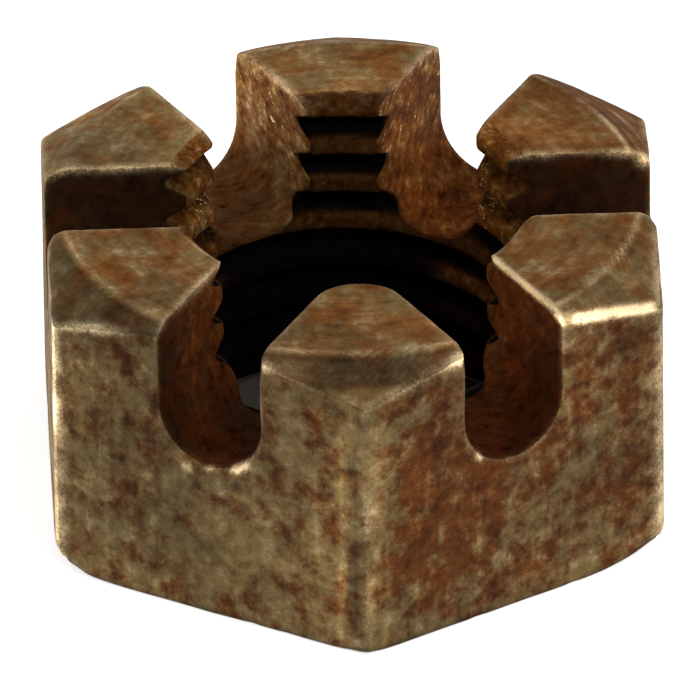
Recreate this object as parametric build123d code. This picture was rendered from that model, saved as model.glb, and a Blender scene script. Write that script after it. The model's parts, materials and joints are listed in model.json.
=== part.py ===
from build123d import *

import math
import os

# Slotted hexagon nut, the low castle nut without a turret, machined in one piece from
# hexagon bar.  Millimetres and degrees.  +Z is the bore axis and points to the slotted
# end.  The origin is the centre of the bearing face.  +X is square to one of the flats,
# so a corner of the hexagon points to -Y.

# hexagon bar
ACROSS_FLATS = 17.46          # wrench size, 11/16 inch
CORNER_RADIUS = 0.3           # rolled edge of the bar between two flats
NUT_HEIGHT = 9.25             # bearing face to the tips of the merlons

# turned ends; the lower chamfer came from a second setting, off the bore's axis
CROWN_DIAMETER = 16.7         # circle where the flat top breaks into the crown chamfer
CROWN_ANGLE = 28.0            # fall of the crown chamfer, from the horizontal
BEARING_DIAMETER = 17.7       # circle where the bearing face breaks into its chamfer
BEARING_ANGLE = 20.0          # rise of the lower chamfer, from the horizontal
BEARING_CENTRE = (-0.3, -0.9)  # axis of the lower chamfer

# threaded bore, plain at the thread's crests
BORE_DIAMETER = 9.9           # minor diameter of the 7/16-20 thread
TOP_COUNTERSINK_RING = 0.35   # how far the shallow countersink at the merlons widens it
TOP_COUNTERSINK_FALL = 20.0   # its fall towards the bore, from the horizontal
TOP_COUNTERSINK_SHIFT = 0.45  # how far it sits off the axis, towards +Y
BASE_COUNTERSINK_RING = 0.8   # how far the countersink at the bearing face widens it
BASE_COUNTERSINK_ANGLE = 45.0  # its wall, from the axis

# cotter pin slots, each milled right across the nut
SLOT_WIDTH = 3.15
SLOT_FLOOR = 5.07             # lowest line of the round slot bottom above the bearing face
SLOT_SHIFTS = {0: 0.3, 60: 0.0, 120: 0.0}  # angle of each slot: how far left of the axis

# edges that the cutters and the wrench have softened
MERLON_EDGE_RADIUS = 0.15     # rim of each merlon's top

HEX_SIDES = 6
TOOL_MARGIN = 2.0             # how far a cutter runs past the metal


def tangent(angle):
    """Tangent of an angle in degrees."""
    return math.tan(math.radians(angle))


def across_corners():
    """Distance across the hexagon's sharp corners."""
    return ACROSS_FLATS / math.cos(math.pi / HEX_SIDES)


def turned(*profile):
    """Body of revolution about Z from the corners (radius, height) of half its section."""
    return revolve(Plane.XZ * make_face(Polyline(*profile, close=True)), Axis.Z)


def hexagon_bar():
    """Length of hexagon bar with softened corners, standing on the bearing face."""
    outline = RegularPolygon(ACROSS_FLATS / 2, HEX_SIDES, major_radius=False, rotation=30)
    outline = fillet(outline.vertices(), CORNER_RADIUS)
    return extrude(outline, NUT_HEIGHT)


def turned_envelope():
    """Lathe-turned outline of both ends: crown chamfer above, bearing chamfer below."""
    reach = across_corners() / 2 + TOOL_MARGIN
    crown, bearing = CROWN_DIAMETER / 2, BEARING_DIAMETER / 2
    crown_fall = (reach - crown) * tangent(CROWN_ANGLE)
    bearing_rise = (reach - bearing) * tangent(BEARING_ANGLE)
    upper = turned(
        (0, 0), (reach, 0), (reach, NUT_HEIGHT - crown_fall), (crown, NUT_HEIGHT), (0, NUT_HEIGHT)
    )
    lower = turned(
        (0, 0), (bearing, 0), (reach, bearing_rise), (reach, NUT_HEIGHT), (0, NUT_HEIGHT)
    )
    return upper & Pos(*BEARING_CENTRE) * lower


def top_mouth():
    """Mouth radius of the shallow countersink at the merlons."""
    return BORE_DIAMETER / 2 + TOP_COUNTERSINK_RING


def bore_tool():
    """Everything bored out: the crest cylinder and a countersink at each end."""
    crest = BORE_DIAMETER / 2
    base = crest + BASE_COUNTERSINK_RING
    base_depth = BASE_COUNTERSINK_RING / tangent(BASE_COUNTERSINK_ANGLE)
    below, above = -TOOL_MARGIN, NUT_HEIGHT + TOOL_MARGIN
    bore = turned(
        (0, below), (base, below), (base, 0), (crest, base_depth), (crest, above), (0, above)
    )
    return bore + Pos(0, TOP_COUNTERSINK_SHIFT) * top_countersink_tool()


def top_countersink_tool():
    """Shallow cone that breaks the bore's edge at the merlons."""
    mouth, slope = top_mouth(), tangent(TOP_COUNTERSINK_FALL)
    above = NUT_HEIGHT + TOOL_MARGIN
    return turned((0, NUT_HEIGHT - mouth * slope), (mouth + TOOL_MARGIN / slope, above), (0, above))


def slot_tool():
    """One slot along X: parallel walls that end in a full-radius bottom."""
    half_width = SLOT_WIDTH / 2
    centre = SLOT_FLOOR + half_width
    wall_height = NUT_HEIGHT + TOOL_MARGIN - centre
    section = Pos(0, centre) * Circle(half_width)
    section += Pos(0, centre + wall_height / 2) * Rectangle(SLOT_WIDTH, wall_height)
    length = across_corners() + 2 * TOOL_MARGIN
    return extrude(Plane.YZ * section, length / 2, both=True)


def merlon_rims(nut):
    """Edges round the top of each merlon, where slot walls and flats meet the crown."""
    corner_drop = (across_corners() - CROWN_DIAMETER) / 2 * tangent(CROWN_ANGLE)
    lowest = NUT_HEIGHT - corner_drop - CORNER_RADIUS
    bore_mouth = top_mouth() + TOP_COUNTERSINK_SHIFT + MERLON_EDGE_RADIUS
    rims = []
    for edge in nut.edges():
        box = edge.bounding_box()
        middle = edge.position_at(0.5)
        outside_bore = math.hypot(middle.X, middle.Y) > bore_mouth
        if box.min.Z > lowest and outside_bore and not on_crown_circle(edge):
            rims.append(edge)
    return rims


def on_crown_circle(edge):
    """True for the arc between the flat top and the crown chamfer."""
    middle = edge.position_at(0.5)
    return abs(math.hypot(middle.X, middle.Y) - CROWN_DIAMETER / 2) < 1e-3


def castle_nut():
    """The finished nut."""
    nut = hexagon_bar() & turned_envelope()
    nut -= bore_tool()
    for angle, shift in SLOT_SHIFTS.items():
        nut -= Rot(0, 0, angle) * Pos(0, shift) * slot_tool()
    return fillet(merlon_rims(nut), MERLON_EDGE_RADIUS)


os.makedirs("parts", exist_ok=True)
nut = castle_nut()
nut.label = "castle_nut"
export_step(nut, "parts/castle_nut.step")
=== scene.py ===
"""Looks of a low castle nut: old hexagon steel gone brown with rust, slotted for a cotter pin.

The steel is one closed skin, welded from grids that are each a function of two parameters.
Lengths inside the shape code are millimetres, and the finished mesh is put down in metres.
"""

import json
import logging
import math
from dataclasses import dataclass, field
from enum import Enum, IntEnum
from typing import TypeAlias

import bpy
import numpy as np
from mathutils import Matrix, Vector


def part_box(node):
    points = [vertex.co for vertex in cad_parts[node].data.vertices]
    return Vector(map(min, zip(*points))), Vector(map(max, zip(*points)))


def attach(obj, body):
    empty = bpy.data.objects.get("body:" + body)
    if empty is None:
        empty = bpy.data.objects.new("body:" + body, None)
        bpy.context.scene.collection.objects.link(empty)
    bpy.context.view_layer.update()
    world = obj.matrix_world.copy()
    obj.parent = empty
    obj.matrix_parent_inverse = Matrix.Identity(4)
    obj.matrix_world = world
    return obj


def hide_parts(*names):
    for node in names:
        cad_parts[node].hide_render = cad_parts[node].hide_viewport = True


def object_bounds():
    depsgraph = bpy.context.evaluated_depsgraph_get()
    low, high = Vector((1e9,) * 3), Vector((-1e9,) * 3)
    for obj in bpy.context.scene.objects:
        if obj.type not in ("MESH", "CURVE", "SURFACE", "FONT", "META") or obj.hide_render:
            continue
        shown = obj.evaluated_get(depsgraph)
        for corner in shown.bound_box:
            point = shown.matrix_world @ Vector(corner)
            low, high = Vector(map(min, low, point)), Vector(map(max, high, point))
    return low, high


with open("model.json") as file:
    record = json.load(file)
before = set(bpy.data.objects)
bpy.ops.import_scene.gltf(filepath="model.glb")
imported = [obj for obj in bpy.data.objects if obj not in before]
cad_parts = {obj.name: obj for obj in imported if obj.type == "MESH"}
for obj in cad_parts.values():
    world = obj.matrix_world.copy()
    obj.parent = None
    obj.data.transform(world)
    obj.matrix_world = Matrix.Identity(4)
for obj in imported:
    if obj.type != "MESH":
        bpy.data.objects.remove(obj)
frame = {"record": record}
CAD_LOW, CAD_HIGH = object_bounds()

LOG = logging.getLogger("castle_nut")
NODE = "castle_nut"
MARKS = "marks"
MM = 0.001
SIDES = 6
SECTOR = 2 * math.pi / SIDES
FRONT = -math.pi / 2    # angle of the front merlon's middle


class Face(IntEnum):
    """Kinds of face on the nut, each with a finish of its own."""

    FLAT = 0
    CROWN = 1
    SLOT = 2
    THREAD = 3
    BEARING = 4


# ---------------------------------------------------------------------------------------
# numbers and places
# ---------------------------------------------------------------------------------------


def graded(count: int, crowding: float) -> np.ndarray:
    """Numbers from 0 to 1, crowded towards both ends: x - crowding * sin(2 pi x) / 2 pi."""
    x = np.linspace(0.0, 1.0, count + 1)
    return x - crowding * np.sin(2 * np.pi * x) / (2 * np.pi)


def smooth_step(value: np.ndarray, start: float, end: float) -> np.ndarray:
    """Ramp from 0 at start to 1 at end with level ends: 3 x squared minus 2 x cubed."""
    x = np.clip((value - start) / (end - start), 0.0, 1.0)
    return x * x * (3 - 2 * x)


def soft_ramp(value: np.ndarray, width: float) -> np.ndarray:
    """Zero below 0 and the value above, bent: width times log(1 + e to value over width)."""
    return width * np.logaddexp(0.0, value / width)


def bell(away: np.ndarray, width: float | np.ndarray) -> np.ndarray:
    """Bell curve, 1 at no distance: e to minus the square of the distance over the width."""
    return np.exp(-((away / width) ** 2))


def wrapped(angle: np.ndarray) -> np.ndarray:
    """The same angle, between minus half a turn and half a turn."""
    return (angle + np.pi) % (2 * np.pi) - np.pi


def beside(side: int, out: np.ndarray, along: np.ndarray) -> np.ndarray:
    """Plan position from a distance square to a side of the hexagon and one along it.

    Args:
        side: which side, counted anticlockwise from +X.
        out: distances from the axis square to the side.
        along: distances along the side, anticlockwise.

    Returns:
        X and Y, in a last axis of two.
    """
    turn = SECTOR * side
    x = out * math.cos(turn) - along * math.sin(turn)
    y = out * math.sin(turn) + along * math.cos(turn)
    return np.stack([x, y], axis=-1)


def seen_from(side: int, points: np.ndarray) -> tuple[np.ndarray, np.ndarray]:
    """Distances square to a side and along it, the reverse of beside().

    Args:
        side: which side.
        points: places, one row a point.

    Returns:
        Distances out, and distances along.
    """
    turn = SECTOR * side
    x, y = points[:, 0], points[:, 1]
    return x * math.cos(turn) + y * math.sin(turn), y * math.cos(turn) - x * math.sin(turn)


def stood(plan: np.ndarray, height: np.ndarray) -> np.ndarray:
    """Points from plan positions and heights."""
    return np.concatenate([plan, height[..., None]], axis=-1)


@dataclass(frozen=True)
class Unevenness:
    """Random lumps that fill space, the same on each run."""

    cell: float
    octaves: int
    seed: int

    AXES = np.array([73856093, 19349663, 83492791])
    SEEDS = 2654435761
    ROUNDS = ((15, 2246822519), (13, 3266489917))
    WORD = 0xFFFFFFFF
    HALF_WORD = 0xFFFF
    SEED_STEP = 101

    def _corner(self, cells: np.ndarray, seed: int) -> np.ndarray:
        """Number from -1 to 1 for each whole-numbered cell, by mixing its bits.

        Args:
            cells: whole coordinates, one row of three a point.
            seed: which set of numbers.

        Returns:
            One number a row.
        """
        short = cells.astype(np.int64) & self.HALF_WORD
        key = (np.bitwise_xor.reduce(short * self.AXES, axis=1) + seed * self.SEEDS) & self.WORD
        for shift, factor in self.ROUNDS:
            key = ((key ^ (key >> shift)) * factor) & self.WORD
        return 2 * ((key ^ (key >> 16)) & self.HALF_WORD) / self.HALF_WORD - 1.0

    def _layer(self, points: np.ndarray, cell: float, seed: int) -> np.ndarray:
        """One size of lump: corner numbers joined by smooth ramps along three axes.

        Args:
            points: places in millimetres, one row of three a point.
            cell: distance between lumps.
            seed: which set of numbers.

        Returns:
            One number from -1 to 1 a row.
        """
        base = np.floor(points / cell)
        part = smooth_step(points / cell - base, 0.0, 1.0)
        total = np.zeros(len(points))
        for index in range(8):
            step = np.array([index & 1, (index >> 1) & 1, (index >> 2) & 1])
            share = np.prod(np.where(step == 1, part, 1 - part), axis=1)
            total += share * self._corner(base + step, seed)
        return total

    def at(self, points: np.ndarray) -> np.ndarray:
        """Sum of the layers, each half the size and half the height of the last.

        Args:
            points: places in millimetres, one row of three a point.

        Returns:
            One number, mostly from -1 to 1, a row.
        """
        total, height, cell = np.zeros(len(points)), 1.0, self.cell
        for octave in range(self.octaves):
            total += height * self._layer(points, cell, self.seed + self.SEED_STEP * octave)
            height, cell = height / 2, cell / 2
        return total / (2 - 2 * height)


# ---------------------------------------------------------------------------------------
# the nut's own shape
# ---------------------------------------------------------------------------------------


@dataclass(frozen=True)
class NutSizes:
    """Driving sizes of the nut, in millimetres and degrees."""

    across_flats: float
    height: float
    slot_half_width: float
    slot_centre: float
    slot_shift: float
    crest_radius: float
    root_radius: float = 5.556
    pitch: float = 1.27
    thread_start: float = 0.65
    root_half_width: float = 0.08
    flank_angle: float = 30.0
    thread_fade: float = 0.35
    faded_share: float = 0.65
    crown_radius: float = 8.35
    crown_angle: float = 28.0
    crown_bend: float = 0.04
    bearing_radius: float = 8.85
    bearing_angle: float = 20.0
    bearing_bend: float = 0.03
    bearing_centre: tuple[float, float] = (-0.3, -0.9)
    top_mouth: float = 5.3
    top_mouth_shift: float = 0.45
    top_mouth_fall: float = 20.0
    base_mouth: float = 5.75
    nose_reach: float = 4.66
    nose_radius: float = 1.48
    nose_depths: tuple[float, float] = (0.55, 0.15)

    @classmethod
    def from_frame(cls, record: dict) -> "NutSizes":
        """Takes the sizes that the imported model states.

        Args:
            record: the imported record, whose mounts give the thread and the slots.

        Returns:
            The sizes of this nut.
        """
        low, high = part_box(NODE)
        mounts = {mount["name"]: mount for mount in record["mounts"]}
        slot = mounts["cotter_slot_0"]
        return cls(
            across_flats=(high.x - low.x) / MM,
            height=(high.z - low.z) / MM,
            slot_half_width=slot["dims"]["r_mm"],
            slot_centre=slot["pos_m"][2] / MM,
            slot_shift=slot["pos_m"][1] / MM,
            crest_radius=mounts["thread"]["dims"]["r_mm"],
        )

    @property
    def apothem(self) -> float:
        """Distance from the axis to a flat."""
        return self.across_flats / 2

    @property
    def half_side(self) -> float:
        """Half the width of one flat."""
        return self.apothem * math.tan(math.pi / SIDES)

    def shift(self, side: int) -> float:
        """How far the slot on this side runs off the axis, anticlockwise along the flat."""
        return {0: self.slot_shift, 3: -self.slot_shift}.get(side % SIDES, 0.0)

    def crown(self, radius: np.ndarray) -> np.ndarray:
        """Height of the top: level to the crown circle's radius, then falling as a cone."""
        fall = math.tan(math.radians(self.crown_angle))
        return self.height - fall * soft_ramp(radius - self.crown_radius, self.crown_bend)

    def bearing(self, plan: np.ndarray) -> np.ndarray:
        """Height of the underside: level to the bearing circle, then a rising cone whose
        axis stands a little off the bore's.

        Args:
            plan: X and Y, in a last axis of two.

        Returns:
            Heights above the bearing face.
        """
        rise = math.tan(math.radians(self.bearing_angle))
        away = plan - np.array(self.bearing_centre)
        radius = np.hypot(away[..., 0], away[..., 1])
        return rise * soft_ramp(radius - self.bearing_radius, self.bearing_bend)

    def thread(self, angle: np.ndarray, height: np.ndarray) -> np.ndarray:
        """Radius of the right-hand screw thread, which climbs one pitch a turn.

        Formula: across one pitch the wall is the crest, a flank, the root and a flank,
        with the corners of the flanks eased. The groove grows shallow at the very top.

        Args:
            angle: angles round the axis in radians.
            height: heights above the bearing face.

        Returns:
            Radii in millimetres.
        """
        turns = height / self.pitch - angle / (2 * np.pi) + self.thread_start
        from_root = np.abs(turns - np.round(turns)) * self.pitch
        depth = self.root_radius - self.crest_radius
        flank = depth * math.tan(math.radians(self.flank_angle))
        share = np.clip((self.root_half_width + flank - from_root) / flank, 0.0, 1.0)
        eased = (share + smooth_step(share, 0.0, 1.0)) / 2
        faded = self.faded_share * smooth_step(height, self.height - self.thread_fade, self.height)
        return self.crest_radius + depth * eased * (1 - faded)

    def nose(self, angle: np.ndarray) -> np.ndarray:
        """Radius of the front merlon's burred tip: an arc that bulges towards the bore.

        Formula: the arc's centre lies on the merlon's middle line at the reach plus the
        arc's radius, and the nearer crossing of each angle's ray with it is taken.

        Args:
            angle: angles round the axis in radians.

        Returns:
            Radii in millimetres.
        """
        turn = wrapped(angle - FRONT)
        centre = self.nose_reach + self.nose_radius
        under = self.nose_radius**2 - (centre * np.sin(turn)) ** 2
        return centre * np.cos(turn) - np.sqrt(np.maximum(under, 0.0))

    def bore(self, angle: np.ndarray, height: np.ndarray) -> np.ndarray:
        """Radius of the bore wall: thread, countersunk mouths and the burred tip.

        Formula: both countersinks are cones, the top one shallow and off the axis, and
        the widest of cone and thread is the wall. At the front merlon's tip the wall
        goes over to the burr's arc between two depths under the top.

        Args:
            angle: angles round the axis in radians.
            height: heights above the bearing face.

        Returns:
            Radii in millimetres.
        """
        thread = self.thread(angle, height)
        fall = math.tan(math.radians(self.top_mouth_fall))
        ring = self.top_mouth - (self.height - height) / fall
        sideways = self.top_mouth_shift * np.cos(angle)
        above = self.top_mouth_shift * np.sin(angle)
        above = above + np.sqrt(np.maximum(ring**2 - sideways**2, 0.0)) * np.sign(ring)
        below = self.base_mouth - height
        wall = np.maximum(thread, np.maximum(above, below))
        start, end = (self.height - depth for depth in self.nose_depths)
        share = smooth_step(height, start, end) * (np.abs(wrapped(angle - FRONT)) < SECTOR / 2)
        return wall + share * (self.nose(angle) - wall)


@dataclass
class Patch:
    """One grid of the skin, with a map of its surface along and across the tool marks."""

    points: np.ndarray
    marks: np.ndarray
    face: Face


@dataclass(frozen=True)
class NutSkin:
    """Works out every grid of the nut's surface, a merlon or a slot at a time."""

    size: NutSizes
    merlon_steps: int = 16
    floor_steps: int = 24
    radial_steps: int = 44
    wall_steps: int = 34
    bore_steps: int = 72
    flat_steps: int = 44
    bearing_steps: int = 20
    merlon_crowding: float = 0.55
    radial_crowding: float = 0.5
    wall_crowding: float = 0.25
    flat_crowding: float = 0.3
    bearing_crowding: float = 0.6
    bore_passes: int = 40
    cutter_lean: float = 50.0
    flat_marks_width: float = 7.0
    wall_marks_gap: float = 40.0
    floor_marks_gap: float = 1.2

    # --- steps -------------------------------------------------------------------------

    def across(self) -> np.ndarray:
        """Share of the way round a merlon, fine at both slots and at the hexagon's corner."""
        half = graded(self.merlon_steps, self.merlon_crowding) / 2
        return np.concatenate([half, 0.5 + half[1:]])

    def radial(self) -> np.ndarray:
        """Share of the way from the bore to the outside."""
        return graded(self.radial_steps, self.radial_crowding)

    def rise(self) -> np.ndarray:
        """Share of the way up a merlon from the slots' centre height."""
        return graded(self.wall_steps, self.wall_crowding)

    def swing(self) -> np.ndarray:
        """Angles round the slot's round bottom, from one wall to the other."""
        return np.linspace(-np.pi / 2, np.pi / 2, self.floor_steps + 1)

    # --- lines in plan -------------------------------------------------------------------

    def outline(self, merlon: int, share: np.ndarray) -> np.ndarray:
        """Plan position on the hexagon from one slot, round the corner, to the next slot.

        Args:
            merlon: which merlon, counted anticlockwise.
            share: 0 at the first slot, 1 at the next, 0.5 at the corner.

        Returns:
            X and Y, in a last axis of two.
        """
        size = self.size
        start = size.shift(merlon) + size.slot_half_width
        end = size.shift(merlon + 1) - size.slot_half_width
        first = start + 2 * (size.half_side - start) * share
        second = -size.half_side + 2 * (end + size.half_side) * (share - 0.5)
        out = np.full_like(share, size.apothem)
        before = beside(merlon, out, first)
        after = beside(merlon + 1, out, second)
        return np.where((share < 0.5)[..., None], before, after)

    def bottom(self, side: int, angle: np.ndarray) -> tuple[np.ndarray, np.ndarray]:
        """Half circle of a slot's bottom.

        Args:
            side: which slot.
            angle: angles round the bottom, 0 at its lowest line.

        Returns:
            Distances across the slot from the nut's axis, and heights.
        """
        size = self.size
        along = size.shift(side) + size.slot_half_width * np.sin(angle)
        return along, size.slot_centre - size.slot_half_width * np.cos(angle)

    def merlon_bore(self, merlon: int, share: np.ndarray, height: np.ndarray) -> np.ndarray:
        """Points on the bore wall under or on a merlon.

        Formula: the angle runs from one slot wall to the next, and both walls keep their
        distance from the slot's centre line at the radius that the thread has there, so
        angle and radius are worked out in turn until they agree.

        Args:
            merlon: which merlon.
            share: 0 at the first slot wall, 1 at the next.
            height: heights above the bearing face, in the same shape as share.

        Returns:
            Points, in a last axis of three.
        """
        size = self.size
        radius = np.full_like(height, size.crest_radius)
        for _ in range(self.bore_passes):
            start = np.arcsin((size.shift(merlon) + size.slot_half_width) / radius)
            end = SECTOR + np.arcsin((size.shift(merlon + 1) - size.slot_half_width) / radius)
            angle = SECTOR * merlon + start + share * (end - start)
            radius = size.bore(angle, height)
        return np.stack([radius * np.cos(angle), radius * np.sin(angle), height], axis=-1)

    def slot_bore(
        self, side: int, along: np.ndarray, height: np.ndarray
    ) -> tuple[np.ndarray, np.ndarray]:
        """Points on the bore wall at or under a slot, by the same turns of working out.

        Args:
            side: which slot.
            along: signed distances from the axis, square to the slot.
            height: heights above the bearing face, in the same shape.

        Returns:
            Points, in a last axis of three, and their distances from the axis along the slot.
        """
        radius = np.full_like(height, self.size.crest_radius)
        for _ in range(self.bore_passes):
            out = np.sqrt(radius**2 - along**2)
            radius = self.size.bore(SECTOR * side + np.arctan2(along, out), height)
        out = np.sqrt(radius**2 - along**2)
        return stood(beside(side, out, along), height), out

    # --- maps of the tool marks ----------------------------------------------------------

    @staticmethod
    def turned(points: np.ndarray, turn: float, face: Face) -> Patch:
        """Grid with the marks of turning: along is the arc length, across radius and height.

        Args:
            points: places on the surface.
            turn: the grid's middle in sectors, so that no arc is cut by a seam.
            face: kind of face.

        Returns:
            The grid.
        """
        radius = np.hypot(points[..., 0], points[..., 1])
        angle = wrapped(np.arctan2(points[..., 1], points[..., 0]) - SECTOR * turn)
        marks = np.stack([angle * radius, radius - points[..., 2] / 2], axis=-1)
        return Patch(points, marks, face)

    def milled(
        self, side: int, out: np.ndarray, along: np.ndarray, height: np.ndarray, gap: np.ndarray
    ) -> Patch:
        """Grid with the marks of the slot cutter: lines that fall towards the bore.

        Args:
            side: which slot.
            out: distances along the slot.
            along: distances across it.
            height: heights of the points.
            gap: what is added across the marks, to keep walls and bottom apart.

        Returns:
            The grid.
        """
        lean = math.radians(self.cutter_lean)
        with_lean = out * math.cos(lean) + height * math.sin(lean)
        across = height * math.cos(lean) - out * math.sin(lean) + gap
        marks = np.stack([with_lean, across], axis=-1)
        return Patch(stood(beside(side, out, along), height), marks, Face.SLOT)

    def rolled(self, plan: np.ndarray, height: np.ndarray, share: np.ndarray) -> Patch:
        """Grid on the hexagon's outside, with marks along the bar, and share going round it."""
        marks = np.stack([height, share * self.flat_marks_width], axis=-1)
        return Patch(stood(plan, height), marks, Face.FLAT)

    # --- grids -----------------------------------------------------------------------------

    def crown_patch(self, merlon: int) -> Patch:
        """Top of a merlon: straight lines in plan from the bore to the hexagon's outline,
        at the height of the crown.

        Args:
            merlon: which merlon.

        Returns:
            The grid.
        """
        share, t = np.meshgrid(self.across(), self.radial(), indexing="ij")
        inner = self.merlon_bore(merlon, share, np.full_like(share, self.size.height))[..., :2]
        plan = inner + (self.outline(merlon, share) - inner) * t[..., None]
        height = self.size.crown(np.hypot(plan[..., 0], plan[..., 1]))
        return self.turned(stood(plan, height), merlon + 0.5, Face.CROWN)

    def inner_patch(self, merlon: int) -> Patch:
        """Threaded face of a merlon, from the slots' centre height to the top.

        Args:
            merlon: which merlon.

        Returns:
            The grid.
        """
        share, q = np.meshgrid(self.across(), self.rise(), indexing="ij")
        height = self.size.slot_centre + q * (self.size.height - self.size.slot_centre)
        return self.turned(self.merlon_bore(merlon, share, height), merlon + 0.5, Face.THREAD)

    def outer_patch(self, merlon: int) -> Patch:
        """Outside of a merlon, from the slots' centre height to the crown.

        Args:
            merlon: which merlon.

        Returns:
            The grid.
        """
        share, q = np.meshgrid(self.across(), self.rise(), indexing="ij")
        plan = self.outline(merlon, share)
        top = self.size.crown(np.hypot(plan[..., 0], plan[..., 1]))
        height = self.size.slot_centre + q * (top - self.size.slot_centre)
        return self.rolled(plan, height, share)

    def wall_patch(self, side: int, hand: int) -> Patch:
        """Straight wall of a slot: from the thread to the flat, and up to the crown.

        Args:
            side: which slot.
            hand: 1 or -1, for the wall on that side of the slot's centre line.

        Returns:
            The grid.
        """
        size = self.size
        q, t = np.meshgrid(self.rise(), self.radial(), indexing="ij")
        along = np.full_like(q, size.shift(side) + hand * size.slot_half_width)
        inner_height = size.slot_centre + q[:, 0] * (size.height - size.slot_centre)
        start = self.slot_bore(side, along[:, 0], inner_height)[1][:, None]
        out = start + (size.apothem - start) * t
        height = size.slot_centre + q * (size.crown(np.hypot(out, along)) - size.slot_centre)
        return self.milled(side, out, along, height, np.full_like(q, hand * self.wall_marks_gap))

    def floor_patch(self, side: int) -> Patch:
        """Round bottom of a slot: a half circle carried from the thread to the flat.

        Args:
            side: which slot.

        Returns:
            The grid.
        """
        angle, t = np.meshgrid(self.swing(), self.radial(), indexing="ij")
        along, height = self.bottom(side, angle)
        start = self.slot_bore(side, along[:, 0], height[:, 0])[1][:, None]
        out = start + (self.size.apothem - start) * t
        return self.milled(side, out, along, height, self.floor_marks_gap * along)

    def lower_bore(self, index: int, slotted: bool) -> Patch:
        """Threaded wall below a merlon or a slot, from the bearing face up.

        Args:
            index: which merlon or slot.
            slotted: True for the stretch below a slot.

        Returns:
            The grid.
        """
        v = np.linspace(0.0, 1.0, self.bore_steps + 1)
        if slotted:
            angle, v = np.meshgrid(self.swing(), v, indexing="ij")
            along, top = self.bottom(index, angle)
            return self.turned(self.slot_bore(index, along, v * top)[0], index, Face.THREAD)
        share, v = np.meshgrid(self.across(), v, indexing="ij")
        points = self.merlon_bore(index, share, v * self.size.slot_centre)
        return self.turned(points, index + 0.5, Face.THREAD)

    def lower_flat(self, index: int, slotted: bool) -> Patch:
        """Outside of the nut below a merlon or a slot, from the bearing chamfer up.

        Args:
            index: which merlon or slot.
            slotted: True for the stretch below a slot.

        Returns:
            The grid.
        """
        size = self.size
        v = graded(self.flat_steps, self.flat_crowding)
        if slotted:
            angle, v = np.meshgrid(self.swing(), v, indexing="ij")
            along, top = self.bottom(index, angle)
            plan = beside(index, np.full_like(along, size.apothem), along)
            share = along / (2 * (size.half_side - size.slot_half_width))
        else:
            share, v = np.meshgrid(self.across(), v, indexing="ij")
            plan = self.outline(index, share)
            top = np.full_like(v, size.slot_centre)
        base = size.bearing(plan)
        return self.rolled(plan, base + v * (top - base), share)

    def bearing_patch(self, index: int, slotted: bool) -> Patch:
        """Stretch of the underside: straight lines in plan from the bore's mouth to the
        outline, at the height of the bearing face.

        Args:
            index: which merlon or slot.
            slotted: True for the stretch below a slot.

        Returns:
            The grid.
        """
        if slotted:
            along = self.bottom(index, self.swing())[0]
            mouth = self.slot_bore(index, along, np.zeros_like(along))[0]
            rim = beside(index, np.full_like(along, self.size.apothem), along)
        else:
            share = self.across()
            mouth = self.merlon_bore(index, share, np.zeros_like(share))
            rim = self.outline(index, share)
        t = graded(self.bearing_steps, self.bearing_crowding)[None, :, None]
        plan = mouth[:, None, :2] * (1 - t) + rim[:, None, :] * t
        turn = index if slotted else index + 0.5
        return self.turned(stood(plan, self.size.bearing(plan)), turn, Face.BEARING)

    def patches(self) -> list[Patch]:
        """Every grid of the nut, sector by sector.

        Returns:
            The grids, which share their points along their borders.
        """
        made = []
        for index in range(SIDES):
            made += [self.crown_patch(index), self.inner_patch(index), self.outer_patch(index)]
            made += [self.wall_patch(index, 1), self.wall_patch(index, -1)]
            made.append(self.floor_patch(index))
            for slotted in (False, True):
                made += [self.lower_bore(index, slotted), self.lower_flat(index, slotted)]
            made += [self.bearing_patch(index, slotted) for slotted in (False, True)]
        return made


# ---------------------------------------------------------------------------------------
# edges
# ---------------------------------------------------------------------------------------


class Side(IntEnum):
    """Surfaces that a point can lie behind."""

    FLAT = 0
    NEXT_FLAT = 1
    TOP = 2
    BASE = 3
    SLOT = 4
    BORE = 5


class Edge(Enum):
    """Edges of the nut, each named by the two surfaces that meet there."""

    CROWN_LINE = (Side.FLAT, Side.TOP)
    RIM = (Side.TOP, Side.SLOT)
    LIP = (Side.TOP, Side.BORE)
    JAMB = (Side.FLAT, Side.SLOT)
    CORNER = (Side.FLAT, Side.NEXT_FLAT)
    INNER = (Side.SLOT, Side.BORE)
    FOOT = (Side.FLAT, Side.BASE)


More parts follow.
